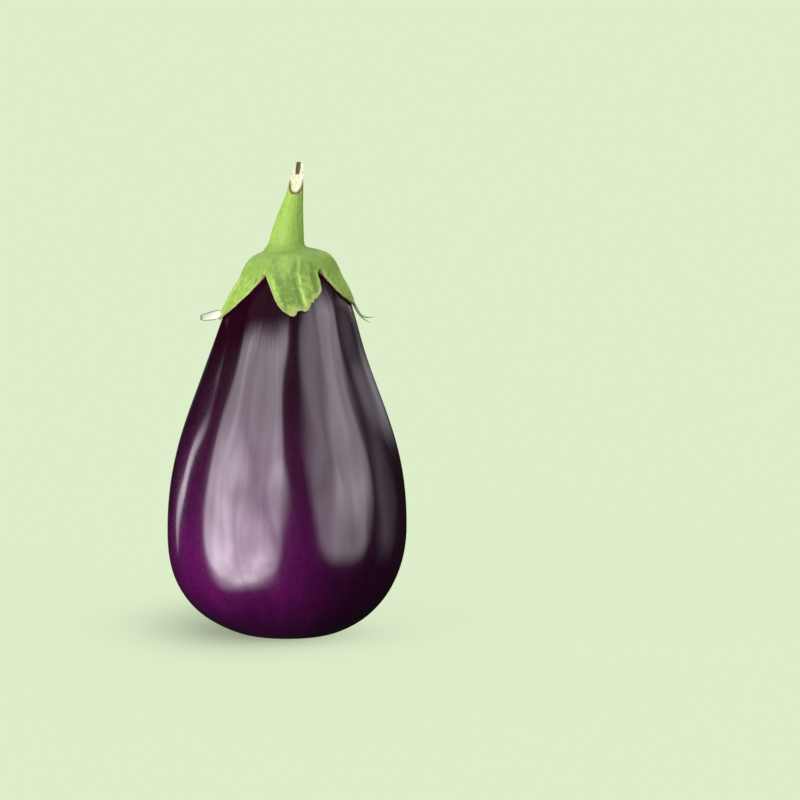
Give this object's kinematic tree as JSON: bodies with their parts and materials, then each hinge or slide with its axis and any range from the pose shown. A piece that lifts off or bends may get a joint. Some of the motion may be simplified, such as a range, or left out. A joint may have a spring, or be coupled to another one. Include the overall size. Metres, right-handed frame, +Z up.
{
  "type": "eggplant",
  "caption": "Pear-shaped globe eggplant standing on its blossom end, with a lobed green calyx and a slant-cut stem.",
  "frame": {"origin": "centre of the flat spot at the blossom end, on which the fruit stands", "axes": "+Z up along the fruit's axis towards the stem; -Y is the front, where the calyx's torn lobe and the stem's slanting cut face; +X to the right seen from the front"},
  "size_m": [0.1001, 0.1, 0.1967],
  "materials": {
    "skin": "glossy waxy dark purple skin, nearly black above and violet below",
    "calyx": "leathery mottled green with pale dry margins",
    "stem": "ridged yellow-green bark, cream wood at the cut"
  },
  "bodies": {
    "root": {"fruit": "skin", "calyx": "calyx", "stem": "stem"}
  },
  "joints": []
}
